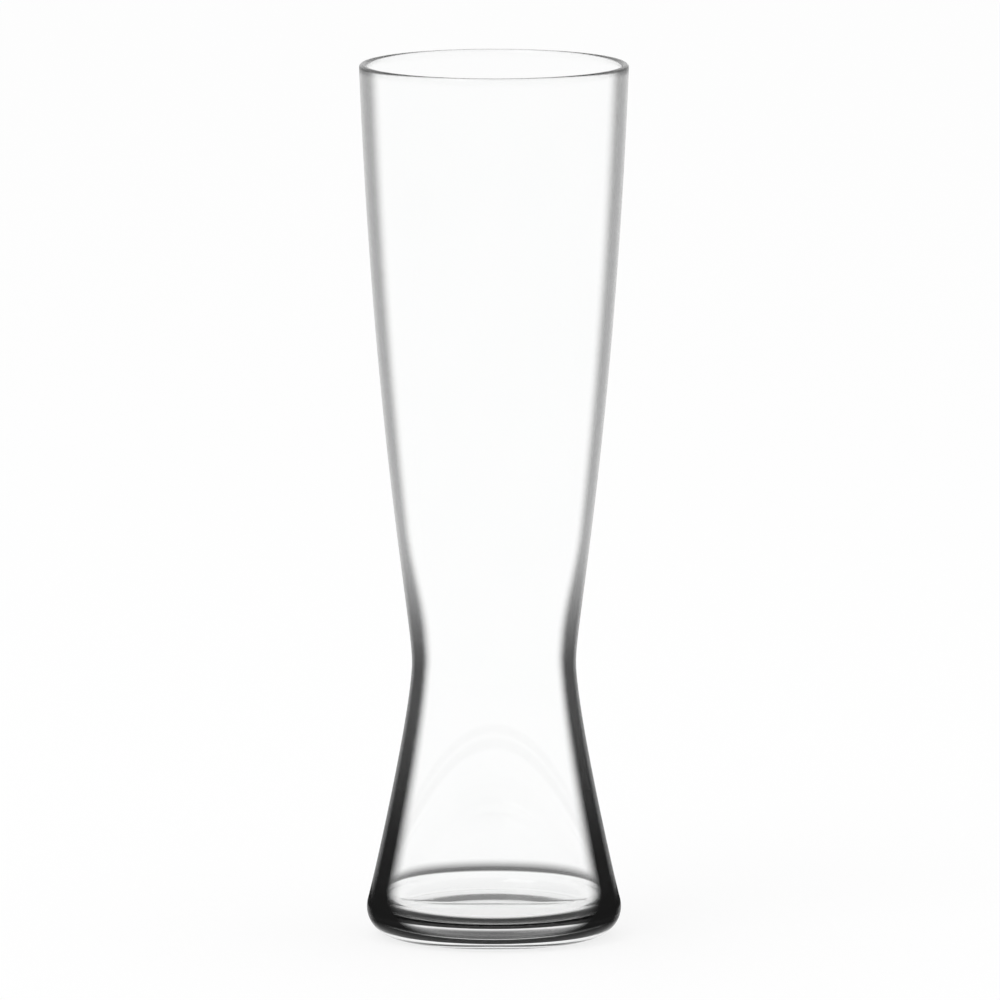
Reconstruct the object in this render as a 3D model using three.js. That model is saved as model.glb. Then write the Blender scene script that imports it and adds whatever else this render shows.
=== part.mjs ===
// A tall pilsner glass: a thin blown bowl that narrows to a waist and splays again,
// fused on a level seam to a thick foot with a shallow dished floor inside and a hollow underneath.
// Millimetres, +Z up. The axis of turning is Z and the table is the plane z = 0.
import * as THREE from "three";

// Outside of the glass
const height = 248;
const rimRadius = 38;
const waistRadius = 23.2;
const waistHeight = 78;
const footRadius = 36;
const heelRadius = 8;

// Lean of the wall, as a run across for each unit of rise: outwards at the rim, inwards over the heel
const rimLean = 0.04;
const footLean = 0.3;

// How far each end of a wall curve holds its direction before it starts to turn
const rimReach = 104;
const waistReachUp = 12;
const waistReachDown = 14;
const footReach = 3.7;

// Wall, measured square to the outside: thin at the rim, thickening faster and faster towards the table
const rimWall = 2;
const footWall = 3.9;
const wallTaper = 4.3;

// Foot: the level of the fused seam, the floor inside, and the ring that stands on the table
const seamHeight = 18;
const floorEdgeHeight = 7.5;
const floorCentreHeight = 6.8;
const floorFillet = 6;
const ringWidth = 2.5;
const hollowHeight = 2.4;
const hollowReach = 6;
const ringEase = 4;

// Fineness of the solids
const turnSteps = 48;
const splaySteps = 14;
const flareSteps = 16;
const rimSteps = 8;
const heelSteps = 8;
const filletSteps = 6;
const floorSteps = 6;
const hollowSteps = 6;

// A cubic curve's handles are this share of a round corner's size
const roundHandle = 0.55;

const point = (radius, level) => new THREE.Vector2(radius, level);

// Heel: an arc from the standing ring up to where the splayed wall leaves it
const ringRadius = footRadius - heelRadius;
const heelTurn = Math.atan(footLean);
const heel = new THREE.EllipseCurve(
  ringRadius, heelRadius, heelRadius, heelRadius, -Math.PI / 2, heelTurn,
);
const heelTop = heel.getPoint(1);
const heelDirection = heel.getTangent(1);

// Splay: from the heel in to the waist, which it meets upright
const waist = point(waistRadius, waistHeight);
const splay = new THREE.CubicBezierCurve(
  heelTop,
  heelTop.clone().addScaledVector(heelDirection, footReach),
  point(waistRadius, waistHeight - waistReachDown),
  waist,
);

// Flare: from the waist out to the rim, stopping half a wall short of the top for the round lip
const lipLean = Math.atan(rimLean);
const lipHeight = height - (rimWall / 2) * (1 + Math.sin(lipLean));
const lip = point(rimRadius, lipHeight);
const flare = new THREE.CubicBezierCurve(
  waist,
  point(waistRadius, waistHeight + waistReachUp),
  point(rimRadius - rimLean * rimReach, lipHeight - rimReach),
  lip,
);

// Wall thickness at a level above the table
function wallAt(level) {
  const depth = 1 - level / lipHeight;
  return rimWall + (footWall - rimWall) * Math.max(depth, 0) ** wallTaper;
}

// Points of the bore: the outside curve moved inwards, square to itself, by the wall's thickness
function boreOf(curve, steps) {
  const points = [];
  for (let i = 0; i <= steps; i++) {
    const outside = curve.getPoint(i / steps);
    const along = curve.getTangent(i / steps);
    const inwards = point(-along.y, along.x);
    points.push(outside.clone().addScaledVector(inwards, wallAt(outside.y)));
  }
  return points;
}

// Point where a rising chain of points crosses a level, running on straight below its first point
function crossing(chain, level) {
  const next = Math.max(chain.findIndex((p) => p.y > level), 1);
  const below = chain[next - 1];
  const above = chain[next];
  return below.clone().lerp(above, (level - below.y) / (above.y - below.y)).setY(level);
}

// Part of a rising chain between two levels, with a point on each of them
function between(chain, low, high) {
  const inside = chain.filter((p) => p.y > low && p.y < high);
  return [crossing(chain, low), ...inside, crossing(chain, high)];
}

// Part of a rising chain from a level to its top
function above(chain, low) {
  return [crossing(chain, low), ...chain.filter((p) => p.y > low)];
}

// Outside and bore of the whole wall, from the heel up to the lip
const outside = [...splay.getPoints(splaySteps), ...flare.getPoints(flareSteps).slice(1)];
const bore = [...boreOf(splay, splaySteps), ...boreOf(flare, flareSteps).slice(1)];

// Bowl: up the outside from the seam, over the round lip, down the bore and back across the seam
function bowlProfile() {
  const boreLip = bore[bore.length - 1];
  const middle = lip.clone().lerp(boreLip, 0.5);
  const lipArc = new THREE.EllipseCurve(
    middle.x, middle.y, rimWall / 2, rimWall / 2, -lipLean, Math.PI - lipLean,
  );
  const wall = above(outside, seamHeight);
  return [
    ...wall,
    ...lipArc.getPoints(rimSteps).slice(1, -1),
    ...above(bore, seamHeight).reverse(),
    wall[0].clone(),
  ];
}

// Floor of the foot: a shallow dish, lowest on the axis and rising to the corner with the bore
const corner = crossing(bore, floorEdgeHeight);
function floorAt(radius) {
  return floorCentreHeight + (floorEdgeHeight - floorCentreHeight) * (radius / corner.x) ** 2;
}

// Round corner between the floor and the bore, leaving both in their own directions
function cornerCurve() {
  const floorEnd = point(corner.x - floorFillet, floorAt(corner.x - floorFillet));
  const floorRise = (2 * (floorEdgeHeight - floorCentreHeight) * floorEnd.x) / corner.x ** 2;
  const alongFloor = point(1, floorRise).normalize();
  const boreEnd = crossing(bore, floorEdgeHeight + floorFillet);
  const alongBore = boreEnd.clone().sub(corner).normalize();
  const handle = roundHandle * floorFillet;
  return new THREE.CubicBezierCurve(
    floorEnd,
    floorEnd.clone().addScaledVector(alongFloor, handle),
    boreEnd.clone().addScaledVector(alongBore, -handle),
    boreEnd,
  );
}

// Foot: from under the middle out to the standing ring, up the heel and the wall to the seam,
// across the seam, then down the bore and over the floor to the axis
function footProfile() {
  const hollowRadius = ringRadius - ringWidth;
  const hollow = new THREE.CubicBezierCurve(
    point(0, hollowHeight),
    point(hollowReach, hollowHeight),
    point(hollowRadius - ringEase, 0),
    point(hollowRadius, 0),
  );
  const round = cornerCurve();
  const floor = [];
  for (let i = 0; i < floorSteps; i++) {
    const radius = (round.v0.x * i) / floorSteps;
    floor.push(point(radius, floorAt(radius)));
  }
  const inside = [...floor, ...round.getPoints(filletSteps), ...between(bore, round.v3.y, seamHeight).slice(1)];
  return [
    ...hollow.getPoints(hollowSteps),
    ...heel.getPoints(heelSteps),
    ...between(outside, heelTop.y, seamHeight).slice(1),
    ...inside.reverse(),
  ];
}

// Clear glass, one material for each piece
function clearGlass() {
  return new THREE.MeshStandardMaterial({
    color: 0xf4f7f7,
    roughness: 0.03,
    metalness: 0,
    transparent: true,
    opacity: 0.35,
  });
}

// A piece turned about Z from its profile
function turned(name, profile) {
  const geometry = new THREE.LatheGeometry(profile, turnSteps).rotateX(Math.PI / 2);
  const mesh = new THREE.Mesh(geometry, clearGlass());
  mesh.name = name;
  return mesh;
}

const glass = new THREE.Group();
glass.add(turned("bowl", bowlProfile()), turned("foot", footProfile()));

export default glass;
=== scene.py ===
import math

import bpy
import numpy as np
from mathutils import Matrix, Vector


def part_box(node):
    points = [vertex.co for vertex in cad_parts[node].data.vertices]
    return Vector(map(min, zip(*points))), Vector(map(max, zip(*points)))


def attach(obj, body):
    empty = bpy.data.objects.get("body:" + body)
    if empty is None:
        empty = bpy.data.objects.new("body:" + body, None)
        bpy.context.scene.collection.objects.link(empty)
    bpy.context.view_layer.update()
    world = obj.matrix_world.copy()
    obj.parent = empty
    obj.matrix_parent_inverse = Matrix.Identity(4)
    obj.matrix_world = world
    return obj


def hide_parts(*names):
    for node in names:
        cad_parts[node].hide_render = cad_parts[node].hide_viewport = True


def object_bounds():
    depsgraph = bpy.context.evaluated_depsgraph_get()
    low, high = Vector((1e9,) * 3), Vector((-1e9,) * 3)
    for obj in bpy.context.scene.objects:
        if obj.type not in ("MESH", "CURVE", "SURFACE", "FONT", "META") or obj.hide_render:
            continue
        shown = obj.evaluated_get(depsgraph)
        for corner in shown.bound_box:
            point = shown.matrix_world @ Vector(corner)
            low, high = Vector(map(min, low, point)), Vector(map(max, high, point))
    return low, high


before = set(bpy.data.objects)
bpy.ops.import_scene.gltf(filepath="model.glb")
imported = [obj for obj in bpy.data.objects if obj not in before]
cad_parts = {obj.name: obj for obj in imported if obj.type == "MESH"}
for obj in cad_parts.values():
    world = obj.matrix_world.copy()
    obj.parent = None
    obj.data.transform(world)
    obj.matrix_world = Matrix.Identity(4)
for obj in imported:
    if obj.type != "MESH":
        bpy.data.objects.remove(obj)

scene = bpy.context.scene
cadLow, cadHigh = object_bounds()
bowlLow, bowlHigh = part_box("bowl")
print("frame loaded, the glass is", round(cadHigh.z * 1000, 1), "mm tall")


# Camera: a long lens a few degrees above the rim, looking along +Y

cameraSet = {
    "back": 5.0,  # from the axis of the glass to the lens, along the table
    "height": 0.8166,
    "aim": (0.0017, 0.0, 0.1240),  # a hair to the right of the axis, which stands left of the middle
    "lens": 643.4,
    "sensor": 36.0,
    "clip": (0.05, 100.0),
}


def makeCamera(c):
    camera = bpy.data.objects.new("photoCamera", bpy.data.cameras.new("photoCamera"))
    scene.collection.objects.link(camera)
    camera.location = (0.0, -c["back"], c["height"])
    camera.rotation_mode = "QUATERNION"
    camera.rotation_quaternion = (Vector(c["aim"]) - camera.location).to_track_quat("-Z", "Y")
    camera.data.sensor_width = c["sensor"]
    camera.data.lens = c["lens"]
    camera.data.clip_start, camera.data.clip_end = c["clip"]
    scene.camera = camera


makeCamera(cameraSet)
print("camera set")


# Shader maths as Python expressions

class Shade:
    def __init__(self, tree, socket):
        self.tree = tree
        self.socket = socket

    def node(self, kind, settings=None, sockets=None, out=0):
        made = self.tree.nodes.new(kind)
        for key, value in (settings or {}).items():
            setattr(made, key, value)
        for key, value in (sockets or {}).items():
            self.feed(made.inputs[key], value)
        return Shade(self.tree, made.outputs[out])

    def feed(self, socket, value):
        if isinstance(value, Shade):
            self.tree.links.new(value.socket, socket)
        else:
            socket.default_value = value

    def math(self, operation, a, b):
        return self.node("ShaderNodeMath", {"operation": operation}, {0: a, 1: b})

    def __add__(self, other): return self.math("ADD", self, other)
    def __radd__(self, other): return self.math("ADD", other, self)
    def __sub__(self, other): return self.math("SUBTRACT", self, other)
    def __rsub__(self, other): return self.math("SUBTRACT", other, self)
    def __mul__(self, other): return self.math("MULTIPLY", self, other)

    def ramp(self, low, high):  # 0 below low, 1 above high, eased between
        return self.node("ShaderNodeMapRange", {"interpolation_type": "SMOOTHSTEP"},
                         {"Value": self, "From Min": low, "From Max": high})


def newMaterial(name):
    material = bpy.data.materials.new(name)
    material.use_nodes = True
    tree = material.node_tree
    tree.nodes.clear()
    output = tree.nodes.new("ShaderNodeOutputMaterial")
    return material, Shade(tree, None), output.inputs["Surface"]


# Glass: clear, with slow waves left by blowing, a trace of tint in streaks,
# a softly worn lip and scuffs where it stands.
# The outside is darkened by painted shade where it turns away from the eye, more in the thick glass low
# down.

glassFinish = {
    "ior": 1.52,
    "clear": (1.0, 1.0, 1.0, 1.0),
    "tinted": (0.985, 0.99, 0.988, 1.0),
    "waveSize": 45.0,  # waves to the metre
    "waveDetail": 1.0,
    "waveRoughness": 0.4,
    "waveHeight": 0.000004,
    "scratchSize": 900.0,  # scratches to the metre
    "scratchDetail": 3.0,
    "scuffSpan": (0.45, 0.7),  # part of the scratches' range over which scuffs appear
    "scuffTop": 0.0009,  # height above the table where the scuffs fade out
    "scuffRoughness": 0.3,
    "lipBelow": (0.0034, 0.0012),  # below the top, where the lip turns from clear to softly worn
    "lipPatch": (0.7, 0.6),  # even part of the lip's wear, and the part that follows the scratches
    "lipRoughness": 0.2,
    # painted shade: the edges of the glass are mixed with a near-black matt, which stands in for shade
    "paintedEdgeShade": (0.01, 0.01, 0.01, 1.0),
    "edgeThick": (0.088, 0.118),  # heights between which the edges go from thick glass to thin
    "edgeStart": (0.34, 0.46),  # facing at which the edge begins, thick and thin
    "edgeFull": (0.53, 0.65),  # and at which it is full
    "edgeHeel": (0.006, 0.016),  # heights over which it comes to begin sooner, downwards
    "edgeSooner": 0.15,
    "edgeEase": (0.70, 0.93),  # facing over which it eases off again
    "edgeEased": 0.4,
    "edgeTone": 0.58,  # darkness of the painted shade at the thin edge
    "edgeMore": (  # heights over which more painted shade is added downwards, and how much
        (0.075, 0.118, 0.35),
        (0.02, 0.075, 0.065),
    ),
}


def paintedEdgeShare(s, level, g):  # how much of the painted edge shade shows, by facing, by height and by the mesh's edge marks
    facing = s.node("ShaderNodeLayerWeight", {}, {"Blend": 0.5}, out=1)
    thin = level.ramp(*g["edgeThick"])
    start, full = (thick + thin * (light - thick) for thick, light in (g["edgeStart"], g["edgeFull"]))
    sooner = (1.0 - level.ramp(*g["edgeHeel"])) * g["edgeSooner"]
    begun = facing.ramp(start - sooner, full - sooner)
    eased = 1.0 - facing.ramp(*g["edgeEase"]) * g["edgeEased"]
    tone = g["edgeTone"]
    for low, high, more in g["edgeMore"]:
        tone = tone + (1.0 - level.ramp(low, high)) * more
    mark = s.node("ShaderNodeAttribute", {"attribute_name": "edge"}, out=2)
    within = s.node("ShaderNodeNewGeometry", out="Backfacing")
    outer = s.math("MAXIMUM", mark, 0.0)
    corner = s.math("MAXIMUM", 0.0 - mark, 0.0) * within  # painted shade in the floor's round corner, only as seen through the glass
    return begun * eased * tone * (outer + corner)


def glassMaterial(name, g, foot):
    material, s, surface = newMaterial(name)
    place = s.node("ShaderNodeTexCoord", out="Object")
    level = s.node("ShaderNodeSeparateXYZ", {}, {0: place}, out=2)
    slow = s.node("ShaderNodeTexNoise", {"noise_dimensions": "3D"}, {
        "Vector": place, "Scale": g["waveSize"],
        "Detail": g["waveDetail"], "Roughness": g["waveRoughness"]})
    colour = s.node("ShaderNodeMix", {"data_type": "RGBA"},
                    {0: slow, 6: g["clear"], 7: g["tinted"]}, out=2)
    waves = s.node("ShaderNodeBump", {}, {"Strength": 1.0, "Distance": g["waveHeight"], "Height": slow})
    scratches = s.node("ShaderNodeTexNoise", {"noise_dimensions": "3D"}, {
        "Vector": place, "Scale": g["scratchSize"], "Detail": g["scratchDetail"]})
    if foot:
        low = 1.0 - level.ramp(0.0, g["scuffTop"])
        rough = low * scratches.ramp(*g["scuffSpan"]) * g["scuffRoughness"]
    else:
        clear, worn = (cadHigh.z - below for below in g["lipBelow"])
        even, patchy = g["lipPatch"]
        rough = level.ramp(clear, worn) * (even + scratches * patchy) * g["lipRoughness"]
    glass = s.node("ShaderNodeBsdfPrincipled", {}, {
        "Base Color": colour, "Transmission Weight": 1.0, "IOR": g["ior"],
        "Roughness": rough, "Normal": waves})
    # painted shade: a near-black matt mixed over the glass at its edges
    dark = s.node("ShaderNodeBsdfDiffuse", {}, {"Color": g["paintedEdgeShade"]})
    s.feed(surface, s.node("ShaderNodeMixShader", {}, {0: paintedEdgeShare(s, level, g), 1: glass, 2: dark}))
    return material


def seamMaterial(name):  # the melted seam inside the glass, which light crosses unchanged
    material, s, surface = newMaterial(name)
    s.feed(surface, s.node("ShaderNodeBsdfTransparent", {}, {"Color": (1.0, 1.0, 1.0, 1.0)}))
    return material


# Turned surfaces: a chain of (radius, level) points carried round Z

turnSteps = 192
paintedShadeMarks = {
    "outFrom": 0.7,  # outward part of the surface's direction at which the painted shade mark begins
    "outGain": 4.0,
    "cornerGain": 2.0,
}


def cubic(p0, p1, p2, p3, count):
    # cubic curve: the four points weighted by (1-t)^3, 3(1-t)^2 t, 3(1-t)t^2, t^3
    t = np.linspace(0.0, 1.0, count)[:, None]
    p0, p1, p2, p3 = (np.array(p, float) for p in (p0, p1, p2, p3))
    return (1 - t) ** 3 * p0 + 3 * (1 - t) ** 2 * t * p1 + 3 * (1 - t) * t ** 2 * p2 + t ** 3 * p3


def arc(middle, radius, start, end, count):  # circle: middle + radius (cos a, sin a)
    a = np.linspace(start, end, count)
    return np.stack([middle[0] + radius * np.cos(a), middle[1] + radius * np.sin(a)], axis=1)


def alongOf(chain):  # unit direction of travel at every point of a chain
    gone = np.concatenate([[0.0], np.cumsum(np.linalg.norm(np.diff(chain, axis=0), axis=1))])
    along = np.gradient(chain, gone, axis=0, edge_order=2)
    return along / np.linalg.norm(along, axis=1)[:, None]


def atLevels(chain, levels):  # points of a rising chain at the levels
    return np.stack([np.interp(levels, chain[:, 1], chain[:, 0]), levels], axis=1)


def carried(pairs, steps):  # x = radius cos a, y = radius sin a, z = level, for a from 0 to a full turn
    turn = np.linspace(0.0, 2 * np.pi, steps, endpoint=False)
    around = np.stack([np.cos(turn), np.sin(turn)], axis=1)
    flat = pairs[:, None, :1] * around[None]
    upright = np.broadcast_to(pairs[:, None, 1:], flat.shape[:2] + (1,))
    return np.concatenate([flat, upright], axis=2).reshape(-1, 3)


def bandFaces(count, steps, closed):  # four corners of each face between a ring and the next
    first = np.arange(count if closed else count - 1)[:, None] * steps
    second = (first + steps) % (count * steps)
    here = np.arange(steps)[None]
    there = (here + 1) % steps
    corners = [first + here, first + there, second + there, second + here]
    return np.stack(corners, axis=2).reshape(-1, 4).tolist()


def markPaintedShade(out, closed, e):  # where the painted edge shade goes: 1 where the glass faces outwards, -1 in the round corner of the floor
    across, upward = out[:, 0], out[:, 1]
    marks = np.clip((across - e["outFrom"]) * e["outGain"], 0.0, 1.0)
    if not closed:
        marks -= np.clip(np.maximum(-across, 0.0) * upward * e["cornerGain"], 0.0, 1.0)
    return marks


def turnedPiece(name, chains, closed):
    rows = np.vstack(chains)
    along = np.vstack([alongOf(c) for c in chains])
    out = np.stack([along[:, 1], -along[:, 0]], axis=1)  # square to the chain, away from the glass
    rings, ringOut = (rows, out) if closed else (rows[1:-1], out[1:-1])
    count = len(rings)
    points, normals = carried(rings, turnSteps), carried(ringOut, turnSteps)
    # the painted edge shade's mask, kept on the mesh as its edge attribute
    edge = np.repeat(markPaintedShade(ringOut, closed, paintedShadeMarks), turnSteps)
    faces = bandFaces(count, turnSteps, closed)
    if not closed:  # fans of triangles close the two ends on the axis
        under, over = len(points), len(points) + 1
        points = np.vstack([points, [[0.0, 0.0, rows[0, 1]], [0.0, 0.0, rows[-1, 1]]]])
        normals = np.vstack([normals, [[0.0, 0.0, -1.0], [0.0, 0.0, 1.0]]])
        edge = np.append(edge, [0.0, 0.0])
        here = np.arange(turnSteps)
        there = (here + 1) % turnSteps
        last = (count - 1) * turnSteps
        faces += np.stack([np.full(turnSteps, under), there, here], axis=1).tolist()
        faces += np.stack([np.full(turnSteps, over), last + here, last + there], axis=1).tolist()
    mesh = bpy.data.meshes.new(name)
    mesh.from_pydata(points.tolist(), [], faces)
    seamRow = count - 1 if closed else len(chains[0]) - 2  # the band that lies on the melted seam
    slots = np.zeros(len(faces), np.int32)
    slots[seamRow * turnSteps:(seamRow + 1) * turnSteps] = 1
    mesh.polygons.foreach_set("material_index", slots)
    mesh.polygons.foreach_set("use_smooth", np.ones(len(faces), bool))
    mesh.normals_split_custom_set_from_vertices(normals.tolist())
    mesh.attributes.new("edge", "FLOAT", "POINT").data.foreach_set("value", edge)
    piece = bpy.data.objects.new(name, mesh)
    scene.collection.objects.link(piece)
    return piece


# Bowl: thin wall from the melted seam through the waist to the round lip

bowlShape = {
    "height": bowlHigh.z,
    "rimRadius": bowlHigh.x,
    "seamHeight": bowlLow.z,
    "waistRadius": 0.0232,
    "waistHeight": 0.078,
    "rimLean": 0.04,
    "rimReach": 0.104,
    "waistReachUp": 0.012,
    "waistReachDown": 0.014,
    "rimWall": 0.002,
    "footWall": 0.0039,
    "wallTaper": 4.3,
    "wallRows": 150,
    "lipRows": 25,
}

# Foot: thick base with a dished floor, a round heel and a hollow inside the ring it stands on

footShape = {
    "footRadius": 0.036,
    "heelRadius": 0.008,
    "footLean": 0.3,
    "footReach": 0.0037,
    "floorEdgeHeight": 0.0075,
    "floorCentreHeight": 0.0068,
    "floorFillet": 0.006,
    "ringWidth": 0.0025,
    "hollowHeight": 0.0024,
    "hollowReach": 0.006,
    "ringEase": 0.004,
    "heelRows": 44,
    "wallRows": 24,
    "filletRows": 40,
    "floorRows": 50,
    "hollowRows": 50,
    "ringRows": 5,
}

roundHandle = 0.55  # a round corner's handles, as a share of its size
wayParts = 50  # the bore's direction is read over one such part of the corner's size
fineCount = 3000  # points on the curves that the rows are read from


def wallChains(b, f):
    # outside: a cubic from the heel to the waist and one from the waist to the lip;
    # bore: the outside moved inwards, square to itself, by a wall that thickens as (1 - level / lip)^taper
    heelTurn = math.atan(f["footLean"])
    ringRadius = f["footRadius"] - f["heelRadius"]
    heel = arc((ringRadius, f["heelRadius"]), f["heelRadius"], -math.pi / 2, heelTurn, f["heelRows"])
    heelWay = np.array([-math.sin(heelTurn), math.cos(heelTurn)])
    waist = np.array([b["waistRadius"], b["waistHeight"]])
    lipHeight = b["height"] - b["rimWall"] / 2 * (1 + math.sin(math.atan(b["rimLean"])))
    lip = np.array([b["rimRadius"], lipHeight])
    splay = cubic(heel[-1], heel[-1] + heelWay * f["footReach"],
                  waist - (0.0, b["waistReachDown"]), waist, fineCount)
    flare = cubic(waist, waist + (0.0, b["waistReachUp"]),
                  lip - np.array([b["rimLean"], 1.0]) * b["rimReach"], lip, fineCount)
    outside = np.vstack([splay, flare[1:]])
    along = alongOf(outside)
    depth = 1 - outside[:, 1] / lipHeight
    wall = b["rimWall"] + (b["footWall"] - b["rimWall"]) * depth ** b["wallTaper"]
    bore = outside + np.stack([-along[:, 1], along[:, 0]], axis=1) * wall[:, None]
    bore = np.vstack([bore[0] - heelWay * f["heelRadius"], bore])  # runs on straight below the heel's top
    return heel, outside, bore


def bowlChain(b, outside, bore):
    lip, boreLip = outside[-1], bore[-1]
    lean = math.atan(b["rimLean"])
    lipArc = arc((lip + boreLip) / 2, b["rimWall"] / 2, -lean, math.pi - lean, b["lipRows"])
    outer = atLevels(outside, np.linspace(b["seamHeight"], lip[1], b["wallRows"]))
    inner = atLevels(bore, np.linspace(boreLip[1], b["seamHeight"], b["wallRows"]))
    return np.vstack([outer, lipArc[1:-1], inner])


def footChains(b, f, heel, outside, bore):
    ringRadius = f["footRadius"] - f["heelRadius"]
    hollowRadius = ringRadius - f["ringWidth"]
    hollow = cubic((0.0, f["hollowHeight"]), (f["hollowReach"], f["hollowHeight"]),
                   (hollowRadius - f["ringEase"], 0.0), (hollowRadius, 0.0), f["hollowRows"])
    ring = np.stack([np.linspace(hollowRadius, ringRadius, f["ringRows"]), np.zeros(f["ringRows"])], axis=1)
    wall = atLevels(outside, np.linspace(heel[-1, 1], b["seamHeight"], f["wallRows"]))
    under = np.vstack([hollow, ring[1:-1], heel, wall[1:]])

    # floor: level = centre + rise (radius / corner)^2, then a cubic corner into the bore
    corner = atLevels(bore, np.array([f["floorEdgeHeight"]]))[0, 0]
    rise = f["floorEdgeHeight"] - f["floorCentreHeight"]
    floorRadius = corner - f["floorFillet"]
    radius = np.linspace(floorRadius, 0.0, f["floorRows"])
    floor = np.stack([radius, f["floorCentreHeight"] + rise * (radius / corner) ** 2], axis=1)
    floorWay = np.array([1.0, 2 * rise * floorRadius / corner ** 2])
    floorWay /= np.linalg.norm(floorWay)
    top = f["floorEdgeHeight"] + f["floorFillet"]
    boreEnd = atLevels(bore, np.array([top, top + f["floorFillet"] / wayParts]))
    boreWay = (boreEnd[1] - boreEnd[0]) / np.linalg.norm(boreEnd[1] - boreEnd[0])
    handle = roundHandle * f["floorFillet"]
    fillet = cubic(boreEnd[0], boreEnd[0] - boreWay * handle,
                   floor[0] + floorWay * handle, floor[0], f["filletRows"])
    inner = atLevels(bore, np.linspace(b["seamHeight"], top, f["wallRows"]))
    return [under, np.vstack([inner[:-1], fillet, floor[1:]])]


def dress(piece, node, materials):
    for material in materials:
        piece.data.materials.append(material)
    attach(piece, "root")
    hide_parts(node)


fusedSeam = seamMaterial("fusedSeam")
heelChain, outsideChain, boreChain = wallChains(bowlShape, footShape)

bowlPiece = turnedPiece("blownBowl", [bowlChain(bowlShape, outsideChain, boreChain)], True)
dress(bowlPiece, "bowl", [glassMaterial("bowlGlass", glassFinish, False), fusedSeam])
print("bowl made,", len(bowlPiece.data.polygons), "faces")

footParts = footChains(bowlShape, footShape, heelChain, outsideChain, boreChain)
footPiece = turnedPiece("thickFoot", footParts, False)
dress(footPiece, "foot", [glassMaterial("footGlass", glassFinish, True), fusedSeam])
print("foot made,", len(footPiece.data.polygons), "faces")


# Stage: white floor and room with one soft lamp.
# Painted shade seen in the glass only: a low dark ring round the foot and a grey canopy overhead.

stageSet = {
    "floorHalf": 12.0,
    "floorDrop": 0.0001,
    "floorMatt": (0.9, 0.9, 0.9, 1.0),
    "floorGlow": 0.8,  # share of the floor that is plain white, the rest takes shadow
    "roomColour": (1.0, 1.0, 1.0, 1.0),
    "roomLevel": 1.0,
    "lampSize": 1.2,
    "lampPlace": (-0.9, -1.1, 1.9),
    "lampPower": 9.0,
    "bounces": 16,
}

cardSet = {
    "turnSteps": 96,
    "stripRadius": (0.060, 0.053),  # painted shade: low dark ring round the foot, at the floor and at its top
    "stripLow": (0.0025, 0.0055),  # heights between which it fades in
    "stripTop": (0.0085, 0.0125),  # and out again
    "stripShade": 0.08,
    "canopyRadius": 7.0,  # painted shade: grey canopy overhead, seen in the glass only
    "canopyLow": 34.0,  # degrees up to its lower edge
    "canopyRows": 13,
    "canopyShade": 0.2,
}


def stageSheet(name, corners, faces):
    mesh = bpy.data.meshes.new(name)
    mesh.from_pydata(corners, [], faces)
    sheet = bpy.data.objects.new(name, mesh)
    scene.collection.objects.link(sheet)
    return sheet


def makeFloor(t):
    half = t["floorHalf"]
    corners = [(-half, -half, 0.0), (half, -half, 0.0), (half, half, 0.0), (-half, half, 0.0)]
    floor = stageSheet("floor", corners, [(0, 1, 2, 3)])
    floor.location.z = -t["floorDrop"]
    material, s, surface = newMaterial("paleFloor")
    glow = s.node("ShaderNodeEmission", {}, {"Strength": 1.0})
    matt = s.node("ShaderNodeBsdfDiffuse", {}, {"Color": t["floorMatt"]})
    s.feed(surface, s.node("ShaderNodeMixShader", {}, {0: t["floorGlow"], 1: matt, 2: glow}))
    floor.data.materials.append(material)


def makePaintedShadeCard(name, chain, steps, level, cover):  # a turned sheet of painted shade in one grey, seen in the glass only; cover says how much shows
    card = stageSheet(name, carried(chain, steps).tolist(), bandFaces(len(chain), steps, False))
    material, s, surface = newMaterial(name)
    place = s.node("ShaderNodeTexCoord", out="Object")
    height = s.node("ShaderNodeSeparateXYZ", {}, {0: place}, out=2)
    glow = s.node("ShaderNodeEmission", {}, {"Color": (level, level, level, 1.0)})
    clear = s.node("ShaderNodeBsdfTransparent")
    s.feed(surface, s.node("ShaderNodeMixShader", {}, {0: cover(height), 1: clear, 2: glow}))
    card.data.materials.append(material)
    # hidden from the camera, from diffuse light and from shadows, so the painted shade shows only in the
    # glass
    card.visible_camera = card.visible_diffuse = card.visible_shadow = False


def makePaintedShadeCards(c):
    radiusLow, radiusTop = c["stripRadius"]
    strip = np.array([(radiusLow, 0.0), (radiusTop, c["stripTop"][1])])
    makePaintedShadeCard("paintedShadeRing", strip, c["turnSteps"], c["stripShade"],
             lambda height: height.ramp(*c["stripLow"]) - height.ramp(*c["stripTop"]))
    rise = np.radians(np.linspace(c["canopyLow"], 90.0, c["canopyRows"]))
    canopy = np.stack([np.cos(rise), np.sin(rise)], axis=1) * c["canopyRadius"]
    makePaintedShadeCard("canopy", canopy, c["turnSteps"], c["canopyShade"], lambda height: 1.0)


def makeRoom(t):
    world = bpy.data.worlds.new("room")
    scene.world = world
    world.use_nodes = True
    back = world.node_tree.nodes["Background"]
    back.inputs["Color"].default_value = t["roomColour"]
    back.inputs["Strength"].default_value = t["roomLevel"]
    lamp = bpy.data.objects.new("softLamp", bpy.data.lights.new("softLamp", "AREA"))
    lamp.data.size = t["lampSize"]
    lamp.data.energy = t["lampPower"]
    lamp.location = t["lampPlace"]
    lamp.rotation_mode = "QUATERNION"
    lamp.rotation_quaternion = (-Vector(t["lampPlace"])).to_track_quat("-Z", "Y")
    scene.collection.objects.link(lamp)


makeFloor(stageSet)
makePaintedShadeCards(cardSet)
makeRoom(stageSet)
scene.view_settings.view_transform = "Standard"
for bounces in ("max_bounces", "glossy_bounces", "transmission_bounces", "transparent_max_bounces"):
    setattr(scene.cycles, bounces, stageSet["bounces"])
print("stage set")
